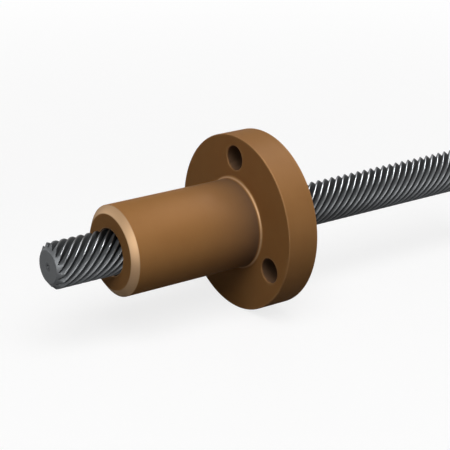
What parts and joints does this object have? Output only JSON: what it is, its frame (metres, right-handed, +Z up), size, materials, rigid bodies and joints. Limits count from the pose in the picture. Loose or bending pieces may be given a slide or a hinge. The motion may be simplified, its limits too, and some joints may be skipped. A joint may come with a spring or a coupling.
{
  "type": "lead screw with flange nut",
  "caption": "Left-hand, fast-travel lead screw with a many-start rolled thread, run through a round bronze nut with a barrel and a drilled flange.",
  "frame": {"origin": "on the screw's axis, in the flange face that the barrel stands out of, at the centre of the bolt circle", "axes": "+X along the screw from the nut's nose towards its flange, +Z up through one bolt hole"},
  "size_m": [0.125, 0.04, 0.04],
  "materials": {
    "screw_steel": "dark rolled steel",
    "nut_bronze": "turned bearing bronze"
  },
  "bodies": {
    "nut": {"flange_nut": "nut_bronze"},
    "screw": {"lead_screw": "screw_steel"}
  },
  "joints": [
    {"name": "screw_travel", "type": "slide", "parent": "nut", "child": "screw", "axis": [1, 0, 0], "range_m": [-0.068, 0.012]}
  ]
}
